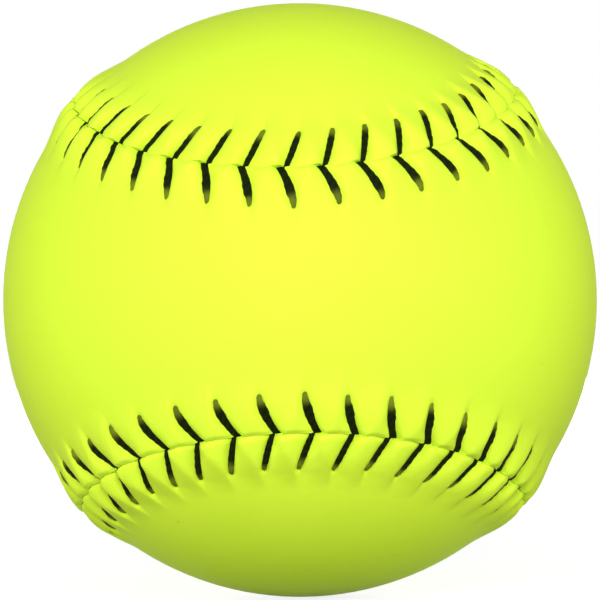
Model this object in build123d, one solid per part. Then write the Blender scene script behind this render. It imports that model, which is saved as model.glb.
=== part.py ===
from build123d import *
import math
import os
from typing import NamedTuple

# A twelve-inch softball: a moulded core, its cement, two sewn cover panels and the thread that laces them.
# The origin is the ball's centre and +Z is up. The front panel's waist faces -Y and its lobes wrap round
# +X and -X. The rear panel is the same piece turned half round: its waist is at +Y, its lobes at +Z and -Z.

# Driving dimensions: the layers, in millimetres
CIRCUMFERENCE = 304.8  # round the plain cover, away from the seam
COVER_THICKNESS = 2.4
CEMENT_THICKNESS = 0.3
LAYER_CLEARANCE = 0.04  # between core, cement and cover

# Driving dimensions: the seam line, in degrees seen from the ball's centre
WAIST_ANGLE = 48.4  # across a panel's waist, from seam to seam
LOBE_ANGLE = 44.15  # from the middle of a lobe's round end to the seam
LOBE_END_SPAN = 120.0  # how far a lobe's round end runs before the seam flattens

# Driving dimensions: the raised margin of a panel, from the seam line or above the plain cover
SEAM_GAP = 0.3  # between the two panels' edges
RIDGE_HEIGHT = 1.1
CROWN_OFFSET = 2.8  # out to the top of the ridge
EDGE_DROP = 0.8  # from the crown down to the panel's rolled edge
SHOULDER_WIDTH = 3.0  # from the needle holes out to the ridge's foot
FOOT_LEAN = 0.6  # how much further out the margin starts on the inside of the cover

# Driving dimensions: the stitching
STITCH_COUNT = 88
HOLE_OFFSET = 6.2  # from the seam line to the row of needle holes
STITCH_LEAN = 2.45  # how far a stitch runs on along the seam on its way in from its hole
LIP_OFFSET = 1.0  # from the seam line to where a stitch dives
THREAD_DIAMETER = 1.05
THREAD_SIDES = 6  # flats that stand for the round thread
THREAD_GAP = 0.25  # between the two stitches that dive into one notch
THREAD_CLEARANCE = 0.12  # round the thread in a hole, a notch or the tunnel under the margin
LEG_CLEARANCE = 0.25  # under a stitch that lies over the ridge

CENTRE = Vector(0, 0, 0)
BALL_RADIUS = CIRCUMFERENCE / (2 * math.pi)
COVER_INNER_RADIUS = BALL_RADIUS - COVER_THICKNESS
CEMENT_RADIUS = COVER_INNER_RADIUS - LAYER_CLEARANCE
CORE_RADIUS = CEMENT_RADIUS - CEMENT_THICKNESS - LAYER_CLEARANCE


class SeamArc(NamedTuple):
    """One round stretch of the seam line, as unit vectors from the ball's centre, in the thread's direction."""

    axis: Vector
    start: Vector
    finish: Vector
    front_is_outside: bool  # whether the front panel lies outside the arc's circle

    def spoke(self, end):
        """The direction from the arc's axis out to one of its ends."""
        return (end - self.axis * self.axis.dot(end)).normalized()

    def angular_radius(self):
        """The angle at the ball's centre between the axis and the seam, in radians."""
        return math.acos(self.axis.dot(self.start))

    def span(self):
        """How far the seam turns about the axis, in degrees."""
        return self.spoke(self.start).get_angle(self.spoke(self.finish))

    def length(self):
        """The stretch's length over the plain cover."""
        return BALL_RADIUS * math.sin(self.angular_radius()) * math.radians(self.span())


def quarter_turn(direction):
    """The seam's own symmetry: a quarter turn about Y that also swaps front and rear."""
    return Vector(-direction.Z, -direction.Y, direction.X)


def mirrored(direction):
    """The same direction on the other side of the ball, left for right."""
    return Vector(-direction.X, direction.Y, direction.Z)


def seam_line():
    """The closed seam: round four lobes in turn, each with a round end between two flatter flanks."""
    half_waist = math.radians(WAIST_ANGLE / 2)
    lean = math.pi / 2 - half_waist - math.radians(LOBE_ANGLE)
    lobe = Vector(0, -math.sin(lean), math.cos(lean))
    end = Vector(0, -math.cos(half_waist), math.sin(half_waist))
    joint = end.rotate(Axis(CENTRE, lobe), LOBE_END_SPAN / 2)
    inward = (lobe - joint * lobe.dot(joint)).normalized()
    crossing = Vector(1, 0, 1).normalized()
    reach = math.atan2(1 - joint.dot(crossing), inward.dot(crossing))
    flank = joint * math.cos(reach) + inward * math.sin(reach)
    stretches = [
        (flank, crossing, joint),
        (lobe, joint, mirrored(joint)),
        (mirrored(flank), mirrored(joint), mirrored(crossing)),
    ]
    arcs = []
    for quarter in range(4):
        arcs += [SeamArc(*stretch, quarter % 2 == 0) for stretch in stretches]
        stretches = [tuple(quarter_turn(v) for v in stretch) for stretch in stretches]
    return arcs


SEAM = seam_line()
SEAM_LENGTH = sum(arc.length() for arc in SEAM)
LOBE_END_MIDDLE = SEAM[0].length() + SEAM[1].length() / 2  # where the stitches are counted from
PITCH = SEAM_LENGTH / STITCH_COUNT

# Sizes of the stitching that follow from the thread and the pitch
THREAD_RADIUS = THREAD_DIAMETER / 2
HOLE_WIDTH = THREAD_DIAMETER + 2 * THREAD_CLEARANCE
HOLE_STAGGER = THREAD_DIAMETER + THREAD_GAP  # the front row of holes runs this far ahead of the rear row
DIVE_LEAN = STITCH_LEAN * LIP_OFFSET / HOLE_OFFSET  # the part of the lean that lies past the lip
NOTCH_LENGTH = HOLE_STAGGER + DIVE_LEAN + HOLE_WIDTH
NOTCH_WIDTH = 2 * LIP_OFFSET + THREAD_DIAMETER
UNDER_RUN = math.hypot(HOLE_OFFSET + LIP_OFFSET, PITCH + HOLE_STAGGER - STITCH_LEAN)
UNDER_SAG = UNDER_RUN**2 / (8 * COVER_INNER_RADIUS)  # of a straight run of thread under the margin
THREAD_LEVEL = UNDER_SAG + THREAD_RADIUS + THREAD_CLEARANCE - COVER_THICKNESS
TUNNEL_ROOF = THREAD_LEVEL + THREAD_RADIUS + THREAD_CLEARANCE
TUNNEL_END = HOLE_OFFSET + HOLE_WIDTH
RIDGE_FOOT = HOLE_OFFSET + SHOULDER_WIDTH
RIDGE_AT_HOLES = RIDGE_HEIGHT * SHOULDER_WIDTH / (RIDGE_FOOT - CROWN_OFFSET)
ROLL = (CROWN_OFFSET - LIP_OFFSET) / (CROWN_OFFSET - SEAM_GAP / 2)
RIDGE_AT_LIP = RIDGE_HEIGHT - EDGE_DROP * ROLL**2


def seam_frame(along):
    """The seam at a distance along it: x runs with the thread, y towards the front panel, z outwards."""
    rest = (LOBE_END_MIDDLE + along) % SEAM_LENGTH
    for arc in SEAM:
        if rest <= arc.length():
            break
        rest -= arc.length()
    sense = -1 if arc.front_is_outside else 1
    outward = arc.start.rotate(Axis(CENTRE, arc.axis), sense * arc.span() * rest / arc.length())
    return Plane(origin=CENTRE, x_dir=arc.axis.cross(outward) * sense, z_dir=outward)


def over_cover(along, across, height):
    """A point at a distance along the seam, across it towards the front panel, and above the plain cover."""
    frame = seam_frame(along)
    angle = across / BALL_RADIUS
    outward = frame.z_dir * math.cos(angle) + frame.y_dir * math.sin(angle)
    return outward * (BALL_RADIUS + height)


def punch(along, across, length, width):
    """A straight cutter through the cover, square to it, with its length along the seam."""
    place = over_cover(along, across, 0)
    plane = Plane(origin=place, x_dir=seam_frame(along).x_dir, z_dir=place)
    return plane * Box(length, width, 4 * COVER_THICKNESS + 2 * RIDGE_HEIGHT)


def swept_along(arc, outline):
    """The solid that a section sweeps along one arc of the seam. The section is drawn on across and height."""
    side = 1 if arc.front_is_outside else -1

    def place(across, height):
        angle = arc.angular_radius() + side * across / BALL_RADIUS
        return Vector(math.sin(angle), math.cos(angle)) * (BALL_RADIUS + height)

    spoke = arc.spoke(arc.finish if arc.front_is_outside else arc.start)
    plane = Plane(origin=CENTRE, x_dir=spoke, z_dir=spoke.cross(arc.axis))
    return revolve(plane * make_face(outline(place)), Axis(CENTRE, arc.axis), arc.span())


def foot_wall(place, side):
    """The wall where a margin joins the plain cover, as its points on the cover's outside and inside."""
    outside = place(side * RIDGE_FOOT, 0)
    inside = place(side * (RIDGE_FOOT + FOOT_LEAN), -COVER_THICKNESS)
    return outside, inside


def band_outline(place):
    """A section of the strip that both margins take up, reaching past the cover on either face."""
    outside, inside = foot_wall(place, 1)
    far_outside, far_inside = foot_wall(place, -1)
    corners = [
        outside * 2 - inside,
        inside * 2 - outside,
        far_inside * 2 - far_outside,
        far_outside * 2 - far_inside,
    ]
    return Polyline(*corners, close=True)


def margin_outline(place):
    """A section of a panel's margin: it swells to a crown, rolls down to its edge and is hollow below."""
    foot, heel = foot_wall(place, 1)
    holes = place(HOLE_OFFSET, RIDGE_AT_HOLES)
    crown = place(CROWN_OFFSET, RIDGE_HEIGHT)
    edge_top = place(SEAM_GAP / 2, RIDGE_HEIGHT - EDGE_DROP)
    edge_bottom = place(SEAM_GAP / 2, TUNNEL_ROOF)
    chord = holes - foot
    level = chord - foot * (chord.dot(foot) / foot.dot(foot))
    swell = TangentArc(foot, holes, tangent=level)
    top = TangentArc(holes, crown, tangent=swell % 1)
    roll = TangentArc(crown, edge_top, tangent=top % 1)
    underside = Polyline(edge_top, edge_bottom, place(TUNNEL_END, TUNNEL_ROOF), heel, foot)
    return [swell, top, roll, underside]


def hole_place(row, index):
    """How far along the seam a needle hole is. Row 1 is the front panel's and row -1 the rear panel's."""
    return index * PITCH + row * HOLE_STAGGER / 2


def punched_panel():
    """A panel before sewing: plain cover, a raised margin all round it and its row of needle holes."""
    plain = Rotation(90, 0, 0) * (Sphere(BALL_RADIUS) - Sphere(COVER_INNER_RADIUS))
    for arc in SEAM:
        plain -= swept_along(arc, band_outline)
    field = plain.solids().sort_by(Axis.Y)[0]
    margin = Part() + [swept_along(arc, margin_outline) for arc in SEAM]
    holes = [
        punch(hole_place(1, index), HOLE_OFFSET, HOLE_WIDTH, HOLE_WIDTH)
        for index in range(STITCH_COUNT)
    ]
    return field + margin - holes


def needle_route(row):
    """One needle's way round: up through a hole, over the ridge, into the seam, under the other panel, on."""
    over = THREAD_RADIUS + LEG_CLEARANCE
    lean_at_crown = STITCH_LEAN * (1 - CROWN_OFFSET / HOLE_OFFSET)
    points = []
    for index in range(STITCH_COUNT):
        hole = hole_place(row, index)
        points += [
            over_cover(hole, row * HOLE_OFFSET, THREAD_LEVEL),
            over_cover(hole, row * HOLE_OFFSET, RIDGE_AT_HOLES + over),
            over_cover(hole + lean_at_crown, row * CROWN_OFFSET, RIDGE_HEIGHT + over),
            over_cover(hole + STITCH_LEAN - DIVE_LEAN, row * LIP_OFFSET, RIDGE_AT_LIP + over),
            over_cover(hole + STITCH_LEAN, -row * LIP_OFFSET / 2, THREAD_LEVEL),
        ]
        row = -row
    tucked_end = over_cover(hole_place(row, STITCH_COUNT) - PITCH / 3, row * CROWN_OFFSET, THREAD_LEVEL)
    return [*points, tucked_end]


def thread_along(points):
    """One unbroken straight-sided thread along the points, mitred where it turns."""
    runs = [(after - before).normalized() for before, after in zip(points, points[1:])]
    section = Plane(origin=points[0], z_dir=runs[0])
    corners = RegularPolygon(THREAD_RADIUS, THREAD_SIDES).vertices()
    rings = [[section.from_local_coords(Vector(corner)) for corner in corners]]
    for point, run, next_run in zip(points[1:], runs, [*runs[1:], runs[-1]]):
        mitre = run + next_run
        rings.append([spot + run * ((point - spot).dot(mitre) / run.dot(mitre)) for spot in rings[-1]])
    flats = [
        Wire.make_polygon([before[side - 1], before[side], after[side], after[side - 1]])
        for before, after in zip(rings, rings[1:])
        for side in range(THREAD_SIDES)
    ]
    ends = [Wire.make_polygon(rings[0]), Wire.make_polygon(rings[-1])]
    return Solid(Shell([Face(outline) for outline in [*flats, *ends]]))


panel = punched_panel()
notches = [
    punch(index * PITCH + STITCH_LEAN - DIVE_LEAN / 2, 0, NOTCH_LENGTH, NOTCH_WIDTH)
    for index in range(STITCH_COUNT)
]
thread_points = [*reversed(needle_route(-1)), *needle_route(1)]
pieces = {
    "core": Sphere(CORE_RADIUS),
    "cement_film": Sphere(CEMENT_RADIUS) - Sphere(CORE_RADIUS + LAYER_CLEARANCE),
    "cover_front": panel - notches,
    "cover_rear": panel.rotate(Axis(CENTRE, Vector(1, 0, 1)), 180) - notches,
    "seam_thread": thread_along(thread_points),
}
os.makedirs("parts", exist_ok=True)
for name, piece in pieces.items():
    export_step(piece, f"parts/{name}.step")
thread_length = sum((after - before).length for before, after in zip(thread_points, thread_points[1:]))
print(f"stitch pitch {PITCH:.2f} mm, thread {thread_length:.0f} mm long, core {2 * CORE_RADIUS:.1f} mm across")
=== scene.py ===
"""A twelve-inch softball: two laced leather panels over a moulded core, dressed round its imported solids."""

import logging
import math
from dataclasses import dataclass, field
from enum import Enum

import bmesh
import bpy
import numpy as np
from mathutils import Euler, Matrix, Vector


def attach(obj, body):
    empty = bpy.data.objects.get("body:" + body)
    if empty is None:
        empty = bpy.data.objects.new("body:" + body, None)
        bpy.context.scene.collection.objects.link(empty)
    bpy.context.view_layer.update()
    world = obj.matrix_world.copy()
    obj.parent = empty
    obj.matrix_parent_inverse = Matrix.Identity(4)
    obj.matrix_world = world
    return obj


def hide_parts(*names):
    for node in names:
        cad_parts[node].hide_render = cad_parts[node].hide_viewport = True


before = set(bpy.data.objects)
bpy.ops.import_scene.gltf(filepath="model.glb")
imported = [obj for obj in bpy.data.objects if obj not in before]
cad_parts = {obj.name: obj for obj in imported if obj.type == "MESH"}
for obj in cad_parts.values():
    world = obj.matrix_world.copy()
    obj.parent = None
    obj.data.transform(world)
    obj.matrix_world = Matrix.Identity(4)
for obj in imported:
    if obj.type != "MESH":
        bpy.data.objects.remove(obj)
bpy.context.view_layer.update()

LOG = logging.getLogger("softball")
MM = 0.001
PER_METRE = 1000  # so a pattern of 1 mm has this scale
PHOTO_PIXELS = 600  # the photograph's width and height
WHITE = "#FFFFFF"
TINY = 1e-9  # keeps a division safe
FLAT_ANGLE = 1e-4  # two directions closer than this, in radians, are joined by a straight line

Array = np.ndarray
Colour = tuple[float, float, float, float]
Tree = bpy.types.NodeTree
Socket = bpy.types.NodeSocket
Material = bpy.types.Material
Object = bpy.types.Object
Mesh = bpy.types.Mesh


def linear(hex_colour: str) -> Colour:
    """Turn a colour as it is written for a screen into the light that it stands for.

    Args:
        hex_colour: An sRGB colour as #RRGGBB.

    Returns:
        Linear red, green and blue, with full opacity.
    """
    shares = [int(hex_colour[at : at + 2], 16) / 255 for at in (1, 3, 5)]
    red, green, blue = (s / 12.92 if s <= 0.04045 else ((s + 0.055) / 1.055) ** 2.4 for s in shares)
    return red, green, blue, 1.0


def add_node(tree: Tree, kind: str, inputs: dict | None = None, **settings: object) -> bpy.types.Node:
    """Add a node to a tree, with its settings, values and incoming links.

    Args:
        tree: The shader or geometry tree that takes the node.
        kind: The node's type name.
        inputs: Values, or sockets to link from, by the name or number of the input.
        **settings: The node's own properties.

    Returns:
        The new node.
    """
    node = tree.nodes.new(kind)
    for name, value in settings.items():
        setattr(node, name, value)
    for key, value in (inputs or {}).items():
        socket = node.inputs[key]
        if isinstance(value, Socket):
            tree.links.new(value, socket)
        else:
            socket.default_value = value
    return node


def maths(tree: Tree, operation: str, *values: object) -> Socket:
    """Add a maths node on these values or sockets, and give its result."""
    return add_node(tree, "ShaderNodeMath", dict(enumerate(values)), operation=operation).outputs[0]


def vector_maths(tree: Tree, operation: str, *values: object) -> Socket:
    """Add a vector maths node on these values or sockets, and give the vector that results."""
    return add_node(tree, "ShaderNodeVectorMath", dict(enumerate(values)), operation=operation).outputs[0]


def noise(tree: Tree, place: Socket, size_mm: float, detail: float = 2.0) -> Socket:
    """Add a noise pattern of this size, and give its level."""
    inputs = {"Vector": place, "Scale": PER_METRE / size_mm, "Detail": detail}
    return add_node(tree, "ShaderNodeTexNoise", inputs).outputs["Fac"]


def mixed(tree: Tree, share: Socket, first: Socket | Colour, second: Socket | Colour) -> Socket:
    """Mix two colours: the share, from 0 to 1, says how much of the second one shows."""
    inputs = {0: share, 6: first, 7: second}
    return add_node(tree, "ShaderNodeMix", inputs, data_type="RGBA").outputs[2]


def stored(tree: Tree, geometry: Socket, name: str, value: Socket, kind: str = "FLOAT") -> Socket:
    """Keep a value with every point of a geometry, under a name, and give the geometry."""
    inputs = {"Geometry": geometry, "Name": name, "Value": value}
    return add_node(tree, "GeometryNodeStoreNamedAttribute", inputs, data_type=kind).outputs[0]


def add_surface(tree: Tree, inputs: dict) -> None:
    """Close a material with its surface shader and output."""
    surface = add_node(tree, "ShaderNodeBsdfPrincipled", inputs)
    add_node(tree, "ShaderNodeOutputMaterial", {"Surface": surface.outputs[0]})


def new_material(name: str) -> tuple[Material, Tree]:
    """Make an empty node material.

    Args:
        name: The real material's name.

    Returns:
        The material and its tree.
    """
    material = bpy.data.materials.new(name)
    material.use_nodes = True
    material.node_tree.nodes.clear()
    return material, material.node_tree


def unit(vectors: Array) -> Array:
    """Scale vectors, held in the last axis, to length one."""
    return vectors / np.linalg.norm(vectors, axis=-1, keepdims=True)


def turned(points: Array, axes: Array, angles: Array) -> Array:
    """Turn points about axes through the ball's centre.

    Args:
        points: The points, with their coordinates in the last axis.
        axes: Unit axes, one for all the points or one each.
        angles: The angles in radians, one for all the points or one each.

    Returns:
        The turned points.
    """
    cosine = np.cos(angles)[..., None]
    sine = np.sin(angles)[..., None]
    along = np.sum(points * axes, axis=-1, keepdims=True) * axes
    return along + (points - along) * cosine + np.cross(axes, points) * sine


def smooth_step(low: float, high: float, values: Array) -> Array:
    """Rise smoothly from 0 at low to 1 at high, whichever of the two is larger."""
    share = np.clip((values - low) / (high - low), 0, 1)
    return share * share * (3 - 2 * share)


class PanelSide(Enum):
    """The two panels of the cover, by the side of the seam that they lie on."""

    FRONT = 1
    REAR = -1


@dataclass
class SeamLine:
    """The closed line where the panels meet: four lobes, each a round end between two flatter flanks."""

    ball_radius: float = 304.8 * MM / (2 * math.pi)
    waist_angle: float = math.radians(49.5)  # about a degree over the CAD's, as the thread is seen to lie
    lobe_angle: float = math.radians(44.15)
    lobe_end_span: float = math.radians(120.0)
    axes: Array = field(init=False)
    starts: Array = field(init=False)
    turns: Array = field(init=False)
    lengths: Array = field(init=False)

    def __post_init__(self) -> None:
        """Lay out the twelve arcs of the seam, in the thread's direction."""
        half_waist = self.waist_angle / 2
        lean = math.pi / 2 - half_waist - self.lobe_angle
        lobe = np.array((0, -math.sin(lean), math.cos(lean)))
        end = np.array((0, -math.cos(half_waist), math.sin(half_waist)))
        joint = turned(end, lobe, np.array(self.lobe_end_span / 2))
        inward = unit(lobe - joint * (lobe @ joint))
        crossing = unit(np.array((1.0, 0.0, 1.0)))
        reach = math.atan2(1 - joint @ crossing, inward @ crossing)
        flank = joint * math.cos(reach) + inward * math.sin(reach)
        left = np.array((-1, 1, 1))
        lobe_arcs = np.array(
            [
                (flank, crossing, joint),
                (lobe, joint, joint * left),
                (flank * left, joint * left, crossing * left),
            ]
        )
        quarter_turn = np.array(((0, 0, -1), (0, -1, 0), (1, 0, 0)))
        arcs = [lobe_arcs]
        for _ in range(3):
            arcs.append(arcs[-1] @ quarter_turn.T)
        self.axes, self.starts, finishes = np.concatenate(arcs).transpose(1, 0, 2)
        cosines = np.sum(self.axes * self.starts, axis=1)
        spokes = unit(self.starts - self.axes * cosines[:, None])
        far_spokes = unit(finishes - self.axes * cosines[:, None])
        spans = np.arccos(np.sum(spokes * far_spokes, axis=1))
        self.turns = spans * np.repeat((-1, 1, -1, 1), len(lobe_arcs))
        self.lengths = self.ball_radius * np.sqrt(1 - cosines**2) * spans

    @property
    def length(self) -> float:
        """The seam's whole length over the plain cover."""
        return float(self.lengths.sum())

    def frames(self, along: Array) -> tuple[Array, Array, Array]:
        """Find the seam's own directions.

        Args:
            along: Distances along the seam from the middle of the upper front lobe end.

        Returns:
            The thread's direction, the way to the front panel, and the way outwards, as unit vectors.
        """
        finishes = np.cumsum(self.lengths)
        lobe_end_middle = self.lengths[0] + self.lengths[1] / 2
        rest = np.mod(along + lobe_end_middle, self.length)
        arc = np.minimum(np.searchsorted(finishes, rest), len(finishes) - 1)
        share = (rest - finishes[arc]) / self.lengths[arc] + 1
        outward = turned(self.starts[arc], self.axes[arc], self.turns[arc] * share)
        travel = unit(np.cross(self.axes[arc], outward) * np.sign(self.turns[arc])[..., None])
        return travel, np.cross(outward, travel), outward

    def place(self, along: Array, across: Array, height: Array) -> Array:
        """Find points by their place beside the seam.

        Args:
            along: Distances along the seam.
            across: Distances from it over the cover, towards the front panel.
            height: Heights above the plain cover.

        Returns:
            The points, in metres.
        """
        _, front, outward = self.frames(along)
        angle = (across / self.ball_radius)[..., None]
        return (outward * np.cos(angle) + front * np.sin(angle)) * (self.ball_radius + height)[..., None]


@dataclass(frozen=True)
class Lacing:
    """One panel's row of stitches: where its needle holes are and how each stitch leans in to the seam."""

    side: PanelSide
    pitch: float
    stitch_count: int
    hole_offset: float
    lean: float
    bow: float  # above 1 a stitch leaves its hole straight and leans more as it nears the seam
    leg_width: float  # how wide the thread is pressed where it lies on the leather
    end_width: float  # and how wide it still is at the seam
    stagger: float = 1.0 * MM  # the front row's holes run this far ahead of the rear row's
    drift_start: float = -0.18 * MM  # sewn by hand, the stitches run ahead or behind an even count:
    drift_lap: float = -0.93 * MM  # so much once round the seam
    drift_half: float = 0.7 * MM  # and so much twice round it
    slip: float = 0.16 * MM  # how far single stitches stray along the seam
    stray: float = 0.22 * MM  # and across it
    slip_waves: tuple[float, float] = (2.3, 5.1)  # in radians from stitch to stitch
    stray_waves: tuple[float, float] = (3.7, 1.9)
    row_shift: float = 0.5  # in stitches, so that the two rows stray differently
    crest_skew: float = 1.8  # at 1 the pillows' crests run straight across; above it they lean back
    settling: int = 4  # how often a hole's place is worked out again, for the drift at that place

    def drift(self, along: Array) -> Array:
        """How far the stitches run ahead of even spacing, at distances along the seam."""
        angle = 2 * math.pi * along / (self.pitch * self.stitch_count)
        return self.drift_start + self.drift_lap * np.cos(angle) + self.drift_half * np.sin(2 * angle)

    def wander(self, index: Array) -> tuple[Array, Array]:
        """Say how far single stitches stray from the row, by two waves that never fall in step with it.

        Args:
            index: The stitches' numbers, which may run past the seam's ends.

        Returns:
            The distances along the seam and the needle holes' distances from it.
        """
        turn = np.mod(index, self.stitch_count) + self.row_shift * self.side.value
        slip, stray = (
            reach * (np.sin(one * turn) + np.sin(other * turn)) / 2
            for reach, (one, other) in ((self.slip, self.slip_waves), (self.stray, self.stray_waves))
        )
        return slip, self.hole_offset + stray

    def hole(self, index: Array) -> Array:
        """Find needle holes by their numbers.

        Args:
            index: The holes' numbers along the seam.

        Returns:
            The holes' distances along the seam.
        """
        even = index * self.pitch + self.side.value * self.stagger / 2 + self.wander(index)[0]
        along = even
        for _ in range(self.settling):
            along = even + self.drift(along)
        return along

    def run(self, across: Array, hole_offset: Array) -> Array:
        """How far a stitch has run along the seam from its hole, at distances from the seam."""
        return self.lean * np.clip(1 - across / hole_offset, 0, 1) ** self.bow

    def beside(self, along: Array, across: Array) -> tuple[Array, Array, Array]:
        """Measure along the seam from the nearest stitch.

        Args:
            along: Distances along the seam.
            across: Distances from the seam into this panel.

        Returns:
            Signed distances from the stitch and from its hole, and its hole's distance from the seam.
        """
        even = along - self.drift(along) - self.side.value * self.stagger / 2
        index = np.round((even - self.run(across, self.hole_offset)) / self.pitch)
        slip, hole_offset = self.wander(index)
        from_hole = even - index * self.pitch - slip
        return from_hole - self.run(across, hole_offset), from_hole, hole_offset

    def swell(self, along: Array, across: Array) -> Array:
        """Say how far up a pillow of leather between two stitches the places are.

        Args:
            along: Distances along the seam.
            across: Distances from the seam into this panel.

        Returns:
            A share, from 0 under the stitches to 1 on the crest.
        """
        beside, _, hole_offset = self.beside(along, across)
        share = np.mod(beside / self.pitch, 1)
        crest = 0.5 + self.crest_skew * (self.lean / 2 - self.run(across, hole_offset)) / self.pitch
        up = np.where(share < crest, share / crest, (1 - share) / (1 - crest))
        return np.sin(math.pi / 2 * up)


@dataclass(frozen=True)
class RaisedMargin:
    """How the leather swells beside the seam, puckers between the stitches and gives way under them."""

    ridge_height: float = 0.62 * MM
    crown_offset: float = 2.2 * MM
    foot_offset: float = 10.4 * MM
    crease_depth: float = 0.35 * MM
    crease_width: float = 0.5 * MM
    pucker_height: float = 1.2 * MM
    pucker_level: float = 0.45  # the share of a pucker that lies below the plain ridge
    pucker_round: float = 1.25  # 2 makes even waves, and 1 full pillows with sharp valleys
    pucker_fade: float = 1.2 * MM  # over this length past the holes the valleys turn to even waves
    pucker_crown: float = 1.4 * MM
    pucker_end: float = 10.2 * MM
    groove_depth: float = 0.12 * MM
    groove_width: float = 0.7 * MM
    pinch_depth: float = 0.35 * MM  # the wider hollow at the seam, where the panels are drawn together
    pinch_width: float = 1.0 * MM
    pinch_end: float = 4.6 * MM
    hole_depth: float = 0.3 * MM
    hole_width: float = 0.42 * MM
    tab_reach: float = 0.4 * MM  # how far the rear panel's edge is pushed forward between two stitches
    tab_fade: float = 1.6 * MM

    def pressed(self, lacing: Lacing, along: Array, across: Array) -> Array:
        """Say how hard the thread presses on the leather; the leather's colour is also darkened by this as
        painted shade.

        Args:
            lacing: The panel's stitches.
            along: Distances along the seam.
            across: Distances from the seam into the panel.

        Returns:
            A share, from 0 on free leather to 1 under a stitch or in a needle hole.
        """
        beside, _, hole_offset = lacing.beside(along, across)
        groove = np.exp(-((beside / self.groove_width) ** 2))
        groove *= smooth_step(self.hole_width, -self.hole_width, across - hole_offset)
        return np.maximum(groove, self.in_hole(lacing, along, across))

    def in_hole(self, lacing: Lacing, along: Array, across: Array) -> Array:
        """How far into a needle hole's funnel places are, from 0 outside it to 1 in its middle."""
        _, from_hole, hole_offset = lacing.beside(along, across)
        return np.exp(-((np.hypot(from_hole, across - hole_offset) / self.hole_width) ** 2))

    def height(self, lacing: Lacing, along: Array, across: Array) -> Array:
        """Shape the outside of the leather.

        Args:
            lacing: The panel's stitches.
            along: Distances along the seam.
            across: Distances from the seam into the panel.

        Returns:
            Heights above the plain cover.
        """
        beside = lacing.beside(along, across)[0]
        ridge = self.ridge_height * smooth_step(self.foot_offset, self.crown_offset, across)
        crease = self.crease_depth * np.exp(-((across / self.crease_width) ** 2))
        past = smooth_step(lacing.hole_offset, lacing.hole_offset + self.pucker_fade, across)
        roundness = self.pucker_round + (2 - self.pucker_round) * past
        swell = lacing.swell(along, across) ** roundness - self.pucker_level
        pucker = self.pucker_height * swell * smooth_step(self.pucker_end, self.pucker_crown, across)
        pinch = self.pinch_depth * np.exp(-((beside / self.pinch_width) ** 2))
        pinch *= smooth_step(self.pinch_end, self.pucker_crown, across)
        groove = self.groove_depth * self.pressed(lacing, along, across)
        hole = self.hole_depth * self.in_hole(lacing, along, across)
        return ridge - crease + pucker - pinch - groove - hole

    def tab(self, rear: Lacing, along: Array, across: Array) -> Array:
        """Scallop the seam: the rear panel's edge stands forward as a round tab between its stitches.

        Args:
            rear: The rear panel's stitches.
            along: Distances along the seam.
            across: Distances from the seam, into either panel.

        Returns:
            How far the leather is shifted towards the front panel.
        """
        rise = np.sin(math.pi * rear.beside(along, np.zeros_like(across))[0] / rear.pitch) ** 2
        return self.tab_reach * rise * np.exp(-((across / self.tab_fade) ** 2))


@dataclass(frozen=True)
class GrainedLeather:
    """Drum-dyed, coated and embossed leather: an even, glowing colour over a fine pebbled grain."""

    name: str = "optic_yellow_leather"
    face: str = "#DFFE40"
    low: str = "#DAFB3A"
    # painted shade: the leather is darkened to this in the grooves and needle holes under the thread
    crease: str = "#C4E424"
    speck: str = "#9AA828"
    pebble_mm: float = 1.0
    pebble_softness: float = 0.6
    pore_mm: float = 0.35
    pore_share: float = 0.35  # how much of the grain is pores and not pebbles
    grain_depth: float = 0.15 * MM
    grain_strength: float = 0.25
    mottle_mm: float = 16.0
    mottle_detail: float = 4.0
    speck_mm: float = 3.0
    speck_levels: tuple[float, float] = (0.775, 0.82)  # only the noise's rare peaks make a speck
    speck_share: float = 0.45
    roughness: tuple[float, float] = (0.50, 0.66)  # on the pebbles and in the hollows between them
    refraction: float = 1.45
    shine: float = 0.08

    def material(self) -> Material:
        """Make the leather: mottled dye, painted shade in the thread's grooves and needle holes, a pebbled
        bump and a few specks.

        Returns:
            The material.
        """
        material, tree = new_material(self.name)
        place = add_node(tree, "ShaderNodeTexCoord").outputs["Object"]
        mottle = noise(tree, place, self.mottle_mm, self.mottle_detail)
        dye = mixed(tree, mottle, linear(self.low), linear(self.face))
        pressed = add_node(tree, "ShaderNodeAttribute", attribute_name="pressed").outputs["Fac"]
        # painted shade: the press mask darkens the dye in the thread's grooves and needle holes
        shaded = mixed(tree, pressed, dye, linear(self.crease))
        start, full = self.speck_levels
        peaks = {
            "Value": noise(tree, place, self.speck_mm),
            "From Min": start,
            "From Max": full,
            "To Max": self.speck_share,
        }
        rare = add_node(tree, "ShaderNodeMapRange", peaks).outputs[0]
        pebbles = add_node(
            tree,
            "ShaderNodeTexVoronoi",
            {"Vector": place, "Scale": PER_METRE / self.pebble_mm, "Smoothness": self.pebble_softness},
            feature="SMOOTH_F1",
        ).outputs["Distance"]
        pores = noise(tree, place, self.pore_mm)
        grain = add_node(tree, "ShaderNodeMix", {0: self.pore_share, 2: pebbles, 3: pores}).outputs[0]
        relief = {"Height": grain, "Strength": self.grain_strength, "Distance": self.grain_depth}
        smooth, matt = self.roughness
        rough = add_node(tree, "ShaderNodeMapRange", {"Value": grain, "To Min": smooth, "To Max": matt})
        look = {
            "Base Color": mixed(tree, rare, shaded, linear(self.speck)),
            "Roughness": rough.outputs[0],
            "Normal": add_node(tree, "ShaderNodeBump", relief, invert=True).outputs[0],
            "IOR": self.refraction,
            "Specular IOR Level": self.shine,
        }
        add_surface(tree, look)
        return material


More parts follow.
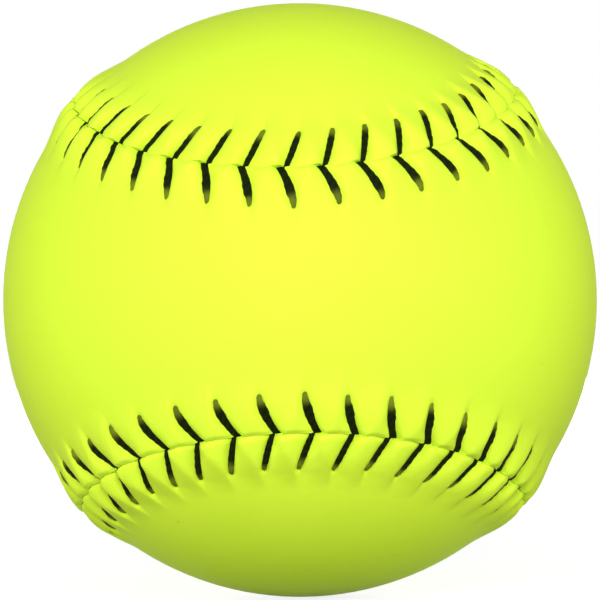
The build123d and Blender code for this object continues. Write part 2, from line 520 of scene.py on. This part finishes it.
@dataclass(frozen=True)
class WaxedThread:
    """Black cotton thread drawn through wax: dark satin plies, rubbed paler where they leave a hole."""

    name: str = "black_waxed_thread"
    ply: str = "#1A2406"
    # painted shade: the grooves between the plies are darkened to this
    between: str = "#080C02"
    rubbed: str = "#747E22"
    fibre_mm: float = 0.25
    fibre_depth: float = 0.05 * MM
    fibre_strength: float = 0.3
    patch_mm: float = 7.0
    patch_levels: tuple[float, float] = (0.35, 0.6)  # where the noise is low the thread is rubbed less:
    patch_share: float = 0.6  # only by this share
    roughness: float = 0.6
    refraction: float = 1.45
    shine: float = 0.05

    def material(self) -> Material:
        """Make the thread: plies from the mesh's own lay with painted shade in the grooves between them, wax
        worn off near the needle holes, fine fibres.

        Returns:
            The material.
        """
        material, tree = new_material(self.name)
        place = add_node(tree, "ShaderNodeTexCoord").outputs["Object"]
        lay = add_node(tree, "ShaderNodeAttribute", attribute_name="ply").outputs["Fac"]
        worn = add_node(tree, "ShaderNodeAttribute", attribute_name="worn").outputs["Fac"]
        # painted shade: darker in the grooves between the plies, by the mesh's ply wave
        plies = mixed(tree, lay, linear(self.between), linear(self.ply))
        start, full = self.patch_levels
        areas = {
            "Value": noise(tree, place, self.patch_mm),
            "From Min": start,
            "From Max": full,
            "To Min": self.patch_share,
        }
        patches = add_node(tree, "ShaderNodeMapRange", areas).outputs[0]
        patchy = maths(tree, "MULTIPLY", worn, patches)
        fibres = noise(tree, place, self.fibre_mm)
        relief = {"Height": fibres, "Strength": self.fibre_strength, "Distance": self.fibre_depth}
        look = {
            "Base Color": mixed(tree, patchy, plies, linear(self.rubbed)),
            "Roughness": self.roughness,
            "Normal": add_node(tree, "ShaderNodeBump", relief).outputs[0],
            "IOR": self.refraction,
            "Specular IOR Level": self.shine,
        }
        add_surface(tree, look)
        return material


@dataclass(frozen=True)
class MouldedFoam:
    """A moulded skin with fine cells: dense polyurethane for the core, or the cement brushed over it."""

    name: str
    face: str
    cell: str
    cell_mm: float
    roughness: float
    cell_detail: float = 3.0
    cell_depth: float = 0.2 * MM
    cell_strength: float = 0.3

    def material(self) -> Material:
        """Make the skin: two tones that follow its cells, which also stand out as a slight bump.

        Returns:
            The material.
        """
        material, tree = new_material(self.name)
        place = add_node(tree, "ShaderNodeTexCoord").outputs["Object"]
        cells = noise(tree, place, self.cell_mm, self.cell_detail)
        relief = {"Height": cells, "Strength": self.cell_strength, "Distance": self.cell_depth}
        look = {
            "Base Color": mixed(tree, cells, linear(self.cell), linear(self.face)),
            "Roughness": self.roughness,
            "Normal": add_node(tree, "ShaderNodeBump", relief).outputs[0],
        }
        add_surface(tree, look)
        return material


def plain_mesh(name: str, points: Array, faces: Array) -> Mesh:
    """Make a mesh from arrays.

    Args:
        name: The mesh's name.
        points: One point a row.
        faces: The points of one four-sided face a row.

    Returns:
        The mesh.
    """
    mesh = bpy.data.meshes.new(name)
    mesh.from_pydata(points.tolist(), [], faces.tolist())
    return mesh


def add_object(name: str, data: bpy.types.ID) -> Object:
    """Put an object into the scene, at the origin.

    Args:
        name: The object's name.
        data: Its mesh, lamp or camera.

    Returns:
        The object.
    """
    piece = bpy.data.objects.new(name, data)
    bpy.context.scene.collection.objects.link(piece)
    return piece


@dataclass
class CoverPanel:
    """One of the cover's two leather panels, with its raised, laced margin."""

    name: str
    node: str
    seam: SeamLine
    lacing: Lacing
    rear_lacing: Lacing  # both panels' edges follow the rear panel's tabs
    margin: RaisedMargin
    edge_offset: float = 0.04 * MM
    thickness: float = 2.4 * MM
    tunnel_roof: float = -0.9 * MM  # the margin is hollow below, where the thread runs
    tunnel_end: float = 7.5 * MM
    margin_width: float = 10.8 * MM
    margin_rows: int = 26
    margin_bias: float = 1.3  # above 1 the rows are closer together towards the seam
    field_rows: int = 28
    inner_field_rows: int = 8
    columns_per_stitch: int = 20
    weld_distance: float = 0.0005 * MM
    sharp_angle: float = math.radians(60)  # the shading is smooth over edges flatter than this

    def build(self) -> Object:
        """Make the panel as one closed mesh.

        Returns:
            The panel's object.
        """
        tip = 0.0 if self.lacing.side is PanelSide.REAR else self.seam.length / 4
        columns = self.lacing.stitch_count // 2 * self.columns_per_stitch
        away = np.linspace(0, self.seam.length / 2, columns + 1)
        shares = np.linspace(0, 1, self.margin_rows + 1)
        across = self.edge_offset + self.margin_width * shares**self.margin_bias
        outer_edges = [self.outer_margin(tip + sign * away, across) for sign in (1, -1)]
        inner_edges = [self.inner_margin(tip + sign * away) for sign in (1, -1)]
        loop = [
            self.rung(*[points for points, _ in outer_edges], self.field_rows),
            self.rung(*inner_edges[::-1], self.inner_field_rows),
        ]
        points = np.concatenate(loop, axis=1)
        pressed = np.zeros(points.shape[:2])
        rows = len(across)
        pressed[:, :rows] = outer_edges[0][1]
        last = loop[0].shape[1]
        pressed[:, last - rows : last] = outer_edges[1][1][:, ::-1]
        mesh = self.closed_mesh(points, pressed)
        return add_object(self.name, mesh)

    def outer_margin(self, along: Array, across: Array) -> tuple[Array, Array]:
        """Shape the outside of one edge's margin.

        Args:
            along: The columns' places along the seam.
            across: The rows' distances from the seam.

        Returns:
            Points by column and row, and how hard the thread presses there.
        """
        s, d = np.meshgrid(along, across, indexing="ij")
        height = self.margin.height(self.lacing, s, d)
        shift = self.margin.tab(self.rear_lacing, s, d)
        points = self.seam.place(s, self.lacing.side.value * d + shift, height)
        return points, self.margin.pressed(self.lacing, s, d)

    def inner_margin(self, along: Array) -> Array:
        """Shape the inside of one edge's margin, with the thread's tunnel below it.

        Args:
            along: The columns' places along the seam.

        Returns:
            Points by column and row.
        """
        tunnel_wall = self.tunnel_end + self.thickness + self.tunnel_roof
        section = np.array(
            [
                (self.edge_offset, self.tunnel_roof),
                (self.tunnel_end, self.tunnel_roof),
                (tunnel_wall, -self.thickness),
                (self.margin_width, -self.thickness),
            ]
        )
        s, d = np.meshgrid(along, section[:, 0], indexing="ij")
        shift = self.margin.tab(self.rear_lacing, s, d)
        height = np.broadcast_to(section[:, 1], s.shape)
        return self.seam.place(s, self.lacing.side.value * d + shift, height)

    @staticmethod
    def rung(near: Array, far: Array, field_rows: int) -> Array:
        """Join the two margins of each column straight across the panel.

        Args:
            near: One margin's points, by column and row, from the seam inwards.
            far: The facing margin's points, in the same order.
            field_rows: How many faces cross the plain field between them.

        Returns:
            Points by column, from the near edge right across to the far edge.
        """
        first = near[:, -1]
        last = far[:, -1]
        radius = np.linalg.norm(first, axis=-1)[:, None, None]
        share = np.linspace(0, 1, field_rows + 1)[1:-1, None]
        angle = np.arccos(np.clip(np.sum(unit(first) * unit(last), axis=-1), -1, 1))[:, None, None]
        sine = np.maximum(np.sin(angle), TINY)
        far_share = np.where(angle > FLAT_ANGLE, np.sin(angle * share) / sine, share)
        near_share = np.where(angle > FLAT_ANGLE, np.sin(angle * (1 - share)) / sine, 1 - share)
        crossing = unit(first[:, None] * near_share + last[:, None] * far_share) * radius
        return np.concatenate((near, crossing, far[:, ::-1]), axis=1)

    def closed_mesh(self, points: Array, pressed: Array) -> Mesh:
        """Skin the columns' closed loops, and weld each end where its loop folds flat at a lobe's tip.

        Args:
            points: Points by column and place in the loop.
            pressed: How hard the thread presses at each point.

        Returns:
            A closed mesh with its faces outwards and the presses as an attribute.
        """
        columns, around = points.shape[:2]
        corner = np.arange(columns * around).reshape(columns, around)
        ahead = np.roll(corner, -1, axis=1)
        faces = np.stack((corner[:-1], corner[1:], ahead[1:], ahead[:-1]), axis=-1)
        mesh = plain_mesh(self.name, points.reshape(-1, 3), faces.reshape(-1, 4))
        # the leather's material paints shade in the grooves and needle holes by this press mask
        mesh.attributes.new("pressed", "FLOAT", "POINT").data.foreach_set("value", pressed.ravel())
        work = bmesh.new()
        work.from_mesh(mesh)
        bmesh.ops.remove_doubles(work, verts=work.verts, dist=self.weld_distance)
        bmesh.ops.recalc_face_normals(work, faces=work.faces)
        work.to_mesh(mesh)
        work.free()
        mesh.shade_smooth()
        mesh.set_sharp_from_angle(angle=self.sharp_angle)
        return mesh

    def dress(self, piece: Object, material: Material) -> None:
        """Give the panel its leather and its place in the frame.

        Args:
            piece: The panel's object.
            material: The leather.
        """
        piece.data.materials.append(material)
        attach(piece, "root")
        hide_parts(self.node)


@dataclass
class SeamThread:
    """The one waxed thread that laces the panels: up a hole, over the ridge, into the seam and on."""

    name: str
    node: str
    seam: SeamLine
    lacings: dict[PanelSide, Lacing]
    margin: RaisedMargin
    thickness: float = 0.75 * MM
    hole_width: float = 0.85 * MM
    level: float = -1.55 * MM  # where the thread runs on under the margins
    seat: float = 0.2  # the share of its thickness that a stitch's middle stands above the leather
    bend: float = 0.3 * MM  # how far from its hole's middle a stitch lies down on the leather
    worn_end: float = 1.8 * MM  # how far from its hole a stitch is rubbed pale
    worn_spread: float = 0.4  # and by what share that differs from stitch to stitch,
    worn_wave: float = 2.9  # as a wave of so many radians a stitch
    worn_fully: float = 0.3  # the share of the pale end that is rubbed right through
    rise: float = 0.2  # the share of the level at which the thread is still upright in its hole
    widening: float = 0.4  # the share of a stitch over which it spreads from its hole
    narrowing: float = 0.3  # and the share over which it narrows to the seam
    leg_points: int = 13
    overlap: float = 0.1 * MM  # how far past the seam's line a stitch reaches before it dives:
    dive: tuple[tuple[float, float, float], ...] = (  # along past its end, across, share of the level
        (0.2 * MM, -0.45 * MM, 0.4),
        (0.3 * MM, -0.7 * MM, 1.0),
    )
    sides: int = 12
    plies: int = 3
    ply_depth: float = 0.08
    lay_length: float = 3.8 * MM
    steps_between: int = 2

    def build(self, material: Material) -> Object:
        """Run the thread along its route.

        Args:
            material: The thread's finish.

        Returns:
            The thread's object, a plain mesh.
        """
        route = self.route_mesh()
        carrier = add_object(f"{self.name}_route", route)
        tree = self.thread_tree()
        modifier = carrier.modifiers.new("thread", "NODES")
        modifier.node_group = tree
        sizes = {  # by the names of the tree's inputs
            "Sides": self.sides,
            "Steps": self.steps_between,
            "Plies": self.plies,
            "Ply Depth": self.ply_depth,
            "Lay Length": self.lay_length,
            "Material": material,
        }
        for item in tree.interface.items_tree:
            if item.name in sizes:
                modifier[item.identifier] = sizes[item.name]
        graph = bpy.context.evaluated_depsgraph_get()
        mesh = bpy.data.meshes.new_from_object(
            carrier.evaluated_get(graph), preserve_all_data_layers=True, depsgraph=graph
        )
        bpy.data.objects.remove(carrier)
        mesh.name = self.name
        return add_object(self.name, mesh)

    def stitch(self, side: PanelSide, index: int) -> Array:
        """Lead the thread through one stitch.

        Args:
            side: The panel whose hole it comes up through.
            index: The stitch's number along the seam.

        Returns:
            Its points, one a row, each as along, across, height, width, thickness and wear.
        """
        lacing = self.lacings[side]
        hole = float(lacing.hole(np.array(index)))
        hole_offset = float(lacing.wander(np.array(index))[1])
        worn_end = self.worn_end * (1 + self.worn_spread * math.sin(self.worn_wave * index + side.value))
        bare = (self.hole_width, self.hole_width)
        up = [(hole, hole_offset, share * self.level, *bare, 1.0) for share in (1.0, self.rise)]
        away = np.linspace(self.bend, hole_offset + self.overlap, self.leg_points)
        across = hole_offset - away
        along = hole + lacing.run(across, hole_offset)
        full = smooth_step(0.0, self.widening * hole_offset, away)
        worn = smooth_step(worn_end, self.worn_fully * worn_end, away)
        narrowed = smooth_step(self.narrowing * hole_offset, 0.0, across)
        width = self.hole_width + (lacing.leg_width - self.hole_width) * full
        width += (lacing.end_width - width) * narrowed
        height = self.margin.height(lacing, along, across) + self.thickness * self.seat
        leg = np.stack((along, across, height, width, np.full_like(away, self.thickness), worn), axis=1)
        end = hole + lacing.lean
        down = [(end + ahead, past, share * self.level, *bare, 0.0) for ahead, past, share in self.dive]
        points = np.concatenate((up, leg, down))
        points[:, 1] *= side.value
        return points

    def route_mesh(self) -> Mesh:
        """Lay the whole route as a line, out with one needle and back with the other.

        Returns:
            A mesh of edges, with the thread's direction, width, thickness and wear as attributes.
        """
        count = self.lacings[PanelSide.FRONT].stitch_count
        back, out = (
            np.concatenate([self.stitch(PanelSide(first * (-1) ** index), index) for index in range(count)])
            for first in (-1, 1)
        )
        points = np.concatenate((back[::-1], out))
        mesh = bpy.data.meshes.new(f"{self.name}_route")
        along, across, height = points[:, :3].T
        shift = self.margin.tab(self.lacings[PanelSide.REAR], along, across)
        places = self.seam.place(along, across + shift, height)
        edges = [(at, at + 1) for at in range(len(points) - 1)]
        mesh.from_pydata(places.tolist(), edges, [])
        travel = self.seam.frames(along)[0]
        mesh.attributes.new("travel", "FLOAT_VECTOR", "POINT").data.foreach_set("vector", travel.ravel())
        for name, values in zip(("width", "thickness", "worn"), points[:, 3:].T):
            mesh.attributes.new(name, "FLOAT", "POINT").data.foreach_set("value", values)
        return mesh

    def thread_tree(self) -> Tree:
        """Make the nodes that wind a flattened, plied thread along a route.

        Returns:
            The tree, with the thread's sizes as named inputs.
        """
        tree = bpy.data.node_groups.new("plied_thread", "GeometryNodeTree")
        tree.is_modifier = True
        face = tree.interface
        face.new_socket("Geometry", in_out="INPUT", socket_type="NodeSocketGeometry")
        kinds = dict.fromkeys(("Sides", "Steps", "Plies"), "Int")
        kinds |= dict.fromkeys(("Ply Depth", "Lay Length"), "Float")
        kinds |= {"Material": "Material"}
        for name, kind in kinds.items():
            face.new_socket(name, in_out="INPUT", socket_type=f"NodeSocket{kind}")
        face.new_socket("Geometry", in_out="OUTPUT", socket_type="NodeSocketGeometry")
        given = add_node(tree, "NodeGroupInput").outputs
        tube = self.plain_tube(tree, given)
        place, wave = self.plied_place(tree, given)
        shaped = add_node(tree, "GeometryNodeSetPosition", {"Geometry": tube, "Position": place})
        crest = add_node(tree, "ShaderNodeMapRange", {"Value": wave, "From Min": -1.0, "From Max": 1.0})
        # the thread's material paints shade between the plies by this wave
        marked = stored(tree, shaped.outputs[0], "ply", crest.outputs[0])
        smooth = add_node(tree, "GeometryNodeSetShadeSmooth", {0: marked, "Shade Smooth": True})
        real = add_node(tree, "GeometryNodeRealizeInstances", {"Geometry": smooth.outputs[0]})
        dressed = add_node(
            tree, "GeometryNodeSetMaterial", {"Geometry": real.outputs[0], "Material": given["Material"]}
        )
        add_node(tree, "NodeGroupOutput", {"Geometry": dressed.outputs[0]})
        return tree

    @staticmethod
    def plain_tube(tree: Tree, given: bpy.types.NodeOutputs) -> Socket:
        """Sweep a ring along the route, as a tube that still has to take its section.

        Args:
            tree: The thread's tree.
            given: The tree's inputs.

        Returns:
            The tube, whose points know their place on the route and their turn round it.
        """
        line = add_node(tree, "GeometryNodeMeshToCurve", {"Mesh": given["Geometry"]}).outputs[0]
        bent = add_node(tree, "GeometryNodeCurveSplineType", {"Curve": line}, spline_type="CATMULL_ROM")
        fine = {"Geometry": bent.outputs[0], "Resolution": given["Steps"]}
        stepped = add_node(tree, "GeometryNodeSetSplineResolution", fine).outputs[0]
        path = add_node(tree, "GeometryNodeResampleCurve", {"Curve": stepped}, mode="EVALUATED").outputs[0]
        middle = add_node(tree, "GeometryNodeInputPosition").outputs[0]
        tangent = add_node(tree, "GeometryNodeInputTangent").outputs[0]
        parameter = add_node(tree, "GeometryNodeSplineParameter").outputs
        path = stored(tree, path, "middle", middle, "FLOAT_VECTOR")
        path = stored(tree, path, "tangent", tangent, "FLOAT_VECTOR")
        path = stored(tree, path, "distance", parameter["Length"])
        circle = {"Resolution": given["Sides"], "Radius": MM / 2}  # any radius does: the points are moved
        ring = add_node(tree, "GeometryNodeCurvePrimitiveCircle", circle).outputs[0]
        section = stored(tree, ring, "turn", parameter["Factor"])
        sweep = {"Curve": path, "Profile Curve": section, "Fill Caps": True}
        return add_node(tree, "GeometryNodeCurveToMesh", sweep).outputs[0]

    @staticmethod
    def plied_place(tree: Tree, given: bpy.types.NodeOutputs) -> tuple[Socket, Socket]:
        """Find where the points of a flattened, plied thread lie.

        Args:
            tree: The thread's tree.
            given: The tree's inputs.

        Returns:
            The points' places, and a wave from -1 between two plies to 1 on top of one.
        """
        kinds = dict.fromkeys(("middle", "tangent", "travel"), "FLOAT_VECTOR")
        kinds |= dict.fromkeys(("distance", "turn", "width", "thickness"), "FLOAT")
        read = {}
        for name, kind in kinds.items():
            reader = add_node(tree, "GeometryNodeInputNamedAttribute", {"Name": name}, data_type=kind)
            read[name] = reader.outputs[0]
        circle = 2 * math.pi
        angle = maths(tree, "MULTIPLY", read["turn"], circle)
        laps = maths(tree, "DIVIDE", read["distance"], given["Lay Length"])
        lay = maths(tree, "MULTIPLY_ADD", laps, circle, angle)
        wave = maths(tree, "COSINE", maths(tree, "MULTIPLY", lay, given["Plies"]))
        swell = maths(tree, "MULTIPLY_ADD", wave, given["Ply Depth"], 1.0)
        ahead = vector_maths(tree, "PROJECT", read["travel"], read["tangent"])
        level = vector_maths(tree, "NORMALIZE", vector_maths(tree, "SUBTRACT", read["travel"], ahead))
        upright = vector_maths(tree, "CROSS_PRODUCT", level, read["tangent"])
        place = read["middle"]
        for direction, size, turn in ((level, "width", "COSINE"), (upright, "thickness", "SINE")):
            half = maths(tree, "MULTIPLY", read[size], 0.5)
            reach = maths(tree, "MULTIPLY", maths(tree, turn, angle), half)
            swollen = maths(tree, "MULTIPLY", reach, swell)
            move = {0: direction, "Scale": swollen}
            shift = add_node(tree, "ShaderNodeVectorMath", move, operation="SCALE").outputs[0]
            place = vector_maths(tree, "ADD", place, shift)
        return place, wave

    def dress(self, piece: Object) -> None:
        """Give the thread its place in the frame.

        Args:
            piece: The thread's object.
        """
        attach(piece, "root")
        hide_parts(self.node)


@dataclass
class InnerBall:
    """The moulded core and the cement film brushed over it, both closed in by the cover."""

    core_node: str = "core"
    cement_node: str = "cement_film"

    def dress(self) -> None:
        """Give both solids their finishes."""
        foam = MouldedFoam("polyurethane_foam", "#EDE7D6", "#D8CFB8", cell_mm=1.5, roughness=0.75)
        cement = MouldedFoam("latex_cement", "#E9DDB8", "#CDBB8A", cell_mm=4.0, roughness=0.5)
        for node, finish in ((self.core_node, foam), (self.cement_node, cement)):
            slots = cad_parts[node].data.materials
            slots.clear()
            slots.append(finish.material())


@dataclass
class SoftBox:
    """One large, even studio lamp that faces the ball."""

    name: str
    place: tuple[float, float, float]
    size: float
    level: float  # what a white card at the ball would show, where 1 is white
    shines: bool = True  # whether glossy surfaces show the lamp

    def hang(self) -> None:
        """Put the lamp in its place and set its power for its distance."""
        data = bpy.data.lights.new(self.name, "AREA")
        data.shape = "DISK"
        data.size = self.size
        reach = Vector(self.place)
        data.energy = self.level * math.pi**2 * reach.length_squared
        lamp = add_object(self.name, data)
        lamp.visible_glossy = self.shines
        lamp.location = reach
        lamp.rotation_mode = "QUATERNION"
        lamp.rotation_quaternion = reach.to_track_quat("Z", "Y")


@dataclass
class Studio:
    """A plain pale floor, white surroundings, soft lamps and the camera that took the photograph."""

    ball_radius: float
    camera_distance: float = 602.7 * MM
    ball_pixels: float = 296.9  # the radius of the ball's outline in the photograph
    sensor_width: float = 36.0  # in millimetres
    clip_start: float = 60.0 * MM
    tilt: float = math.radians(-0.02)  # how the ball is turned as the camera sees it: about its X axis,
    roll: float = math.radians(-1.27)  # its Y axis
    swing: float = math.radians(-1.46)  # and its Z axis
    floor_gap: float = 0.3 * MM
    floor_size: float = 6.0
    paper: str = "#A3A3A3"
    floor_lift: float = 0.84  # white that only shows the floor beside the ball, and lights nothing
    floor_fade: tuple[float, float] = (0.15, 1.0)  # from here to here it rises to full white
    fill_level: float = 0.02
    lamps: tuple[SoftBox, ...] = (
        SoftBox("front_lamp", (0.0, -1.54, 0.50), 0.95, 0.92),
        SoftBox("left_lamp", (-1.40, -0.77, 0.28), 0.65, 0.38),
        SoftBox("right_lamp", (1.40, -0.77, 0.28), 0.65, 0.38),
        SoftBox("back_lamp", (0.0, 1.57, 0.28), 0.65, 0.80, shines=False),
    )

    def build(self) -> None:
        """Set up the surroundings, the floor, the lamps and the camera."""
        bpy.context.scene.view_settings.view_transform = "Standard"
        self.surroundings()
        self.floor()
        for lamp in self.lamps:
            lamp.hang()
        self.camera()

    @staticmethod
    def seen(tree: Tree) -> Socket:
        """Tell the rays that show a background from those that light the ball.

        Args:
            tree: The world's or a material's tree.

        Returns:
            A socket that is 1 for camera, glossy and transmission rays, and 0 for the rest.
        """
        rays = add_node(tree, "ShaderNodeLightPath").outputs
        direct = maths(tree, "MAXIMUM", rays["Is Camera Ray"], rays["Is Glossy Ray"])
        return maths(tree, "MAXIMUM", direct, rays["Is Transmission Ray"])

    def surroundings(self) -> None:
        """Surround the ball with white that lights it only as a soft fill."""
        world = bpy.data.worlds.new("studio")
        world.use_nodes = True
        bpy.context.scene.world = world
        tree = world.node_tree
        tree.nodes.clear()
        strength = add_node(
            tree, "ShaderNodeMapRange", {"Value": self.seen(tree), "To Min": self.fill_level, "To Max": 1.0}
        )
        light = {"Color": linear(WHITE), "Strength": strength.outputs[0]}
        glow = add_node(tree, "ShaderNodeBackground", light)
        add_node(tree, "ShaderNodeOutputWorld", {"Surface": glow.outputs[0]})

    def floor(self) -> None:
        """Lay a sheet of pale paper under the ball, which takes its shadow and throws some light back."""
        square = np.array([(-1, -1), (1, -1), (1, 1), (-1, 1)]) * self.floor_size / 2
        corners = np.column_stack((square, np.full(len(square), -self.ball_radius - self.floor_gap)))
        sheet = add_object("floor", plain_mesh("floor", corners, np.array([(0, 1, 2, 3)])))
        material, tree = new_material("matt_paper")
        seen = self.seen(tree)
        place = add_node(tree, "ShaderNodeTexCoord").outputs["Object"]
        away = add_node(tree, "ShaderNodeVectorMath", {0: place}, operation="LENGTH").outputs["Value"]
        near, far = self.floor_fade
        rise = {"Value": away, "From Min": near, "From Max": far, "To Min": self.floor_lift}
        white = add_node(tree, "ShaderNodeMapRange", rise).outputs[0]
        paper = add_node(tree, "ShaderNodeBsdfDiffuse", {"Color": linear(self.paper)})
        glow = {"Color": linear(WHITE), "Strength": maths(tree, "MULTIPLY", seen, white)}
        lift = add_node(tree, "ShaderNodeEmission", glow)
        surface = add_node(tree, "ShaderNodeAddShader", {0: paper.outputs[0], 1: lift.outputs[0]})
        add_node(tree, "ShaderNodeOutputMaterial", {"Surface": surface.outputs[0]})
        sheet.data.materials.append(material)

    def camera(self) -> None:
        """Put the camera where the photograph was taken from."""
        data = bpy.data.cameras.new("camera")
        outline_angle = math.asin(self.ball_radius / self.camera_distance)
        half_view = math.atan(math.tan(outline_angle) * PHOTO_PIXELS / 2 / self.ball_pixels)
        data.sensor_width = self.sensor_width
        data.lens = self.sensor_width / 2 / math.tan(half_view)
        data.clip_start = self.clip_start
        camera = add_object("camera", data)
        turn = Euler((self.tilt, self.roll, self.swing)).to_matrix().transposed()
        upright = Matrix(((1, 0, 0), (0, 0, -1), (0, 1, 0)))  # looks along +Y with +Z up
        place = turn @ Vector((0, -self.camera_distance, 0))
        camera.matrix_world = Matrix.Translation(place) @ (turn @ upright).to_4x4()
        bpy.context.scene.camera = camera


def main() -> None:
    """Build the ball's pieces, dress them, and set up the studio."""
    logging.basicConfig(level=logging.INFO, format="%(name)s: %(message)s")
    seam = SeamLine()
    stitch_count = 88
    pitch = seam.length / stitch_count
    lacings = {
        PanelSide.FRONT: Lacing(
            PanelSide.FRONT,
            pitch,
            stitch_count,
            hole_offset=6.35 * MM,
            lean=2.2 * MM,
            bow=2.0,
            leg_width=1.95 * MM,
            end_width=1.85 * MM,
        ),
        PanelSide.REAR: Lacing(
            PanelSide.REAR,
            pitch,
            stitch_count,
            hole_offset=6.05 * MM,
            lean=2.45 * MM,
            bow=1.1,
            leg_width=1.15 * MM,
            end_width=1.0 * MM,
        ),
    }
    margin = RaisedMargin()
    leather = GrainedLeather().material()
    for side, lacing in lacings.items():
        word = side.name.lower()
        panel = CoverPanel(
            f"leather_panel_{word}", f"cover_{word}", seam, lacing, lacings[PanelSide.REAR], margin
        )
        piece = panel.build()
        panel.dress(piece, leather)
        LOG.info("%s: %d faces", piece.name, len(piece.data.polygons))
    thread = SeamThread("lacing_thread", "seam_thread", seam, lacings, margin)
    piece = thread.build(WaxedThread().material())
    thread.dress(piece)
    LOG.info("%s: %d faces", piece.name, len(piece.data.polygons))
    InnerBall().dress()
    Studio(seam.ball_radius).build()


if __name__ == "__main__":
    main()
